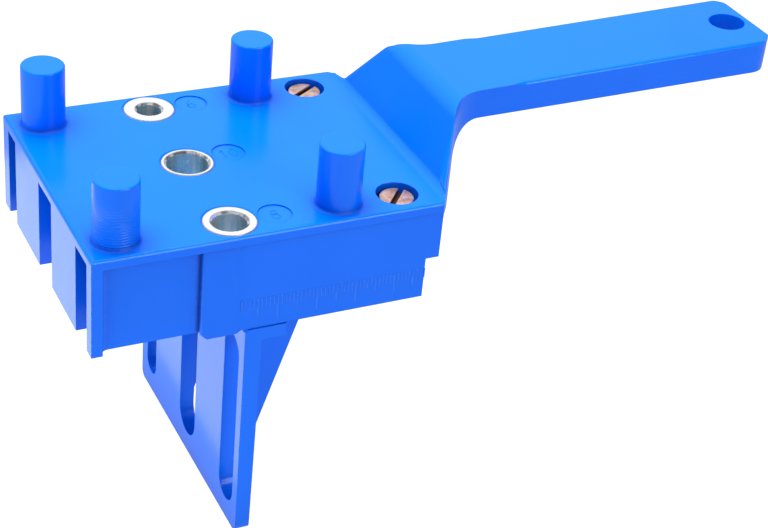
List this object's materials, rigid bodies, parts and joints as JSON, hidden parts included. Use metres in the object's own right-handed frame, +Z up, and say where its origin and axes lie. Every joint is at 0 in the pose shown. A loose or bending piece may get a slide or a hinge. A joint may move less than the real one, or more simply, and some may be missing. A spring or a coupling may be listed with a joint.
{
  "type": "dowel jig",
  "caption": "Hand-held dowel drilling jig: a flat moulded block on a long handle, with steel drill bushes, centring posts and a slotted fence that slides below it.",
  "frame": {"origin": "on the axis of the middle bush, in the plane of the block's lower edges", "axes": "+X along the handle away from the block, +Y across the bushes towards the smallest one, +Z up out of the bushes"},
  "size_m": [0.1936, 0.071, 0.1059],
  "materials": {
    "body_plastic": "semi-gloss moulded",
    "fence_plastic": "semi-gloss moulded",
    "bush_steel": "bright turned",
    "screw_metal": "bright copper-coloured plating",
    "nut_steel": "zinc plated"
  },
  "bodies": {
    "jig_body": {"body": "body_plastic", "bush_6": "bush_steel", "bush_10": "bush_steel", "bush_8": "bush_steel"},
    "fence": {"fence": "fence_plastic"},
    "screw_near": {"screw_near": "screw_metal"},
    "screw_far": {"screw_far": "screw_metal"},
    "nut_near": {"nut_near": "nut_steel"},
    "nut_far": {"nut_far": "nut_steel"}
  },
  "joints": [
    {"name": "fence_slide", "type": "slide", "parent": "jig_body", "child": "fence", "axis": [1, 0, 0], "range_m": [-0.0011, 0.0244]},
    {"name": "screw_near_turn", "type": "hinge", "parent": "jig_body", "child": "screw_near", "pos_m": [0.0423, -0.028, 0.02], "axis": [0, 0, 1], "range_deg": [0, 720.5]},
    {"name": "screw_far_turn", "type": "hinge", "parent": "jig_body", "child": "screw_far", "pos_m": [0.0423, 0.028, 0.02], "axis": [0, 0, 1], "range_deg": [0, 720.5]},
    {"name": "nut_near_travel", "type": "slide", "parent": "jig_body", "child": "nut_near", "axis": [0, 0, -1], "range_m": [0, 0.0016]},
    {"name": "nut_far_travel", "type": "slide", "parent": "jig_body", "child": "nut_far", "axis": [0, 0, -1], "range_m": [0, 0.0016]}
  ],
  "couplings": [
    {"joint": "screw_near_turn", "follows": "nut_near_travel", "rad_per_m": 7854},
    {"joint": "screw_far_turn", "follows": "nut_far_travel", "rad_per_m": 7854}
  ]
}
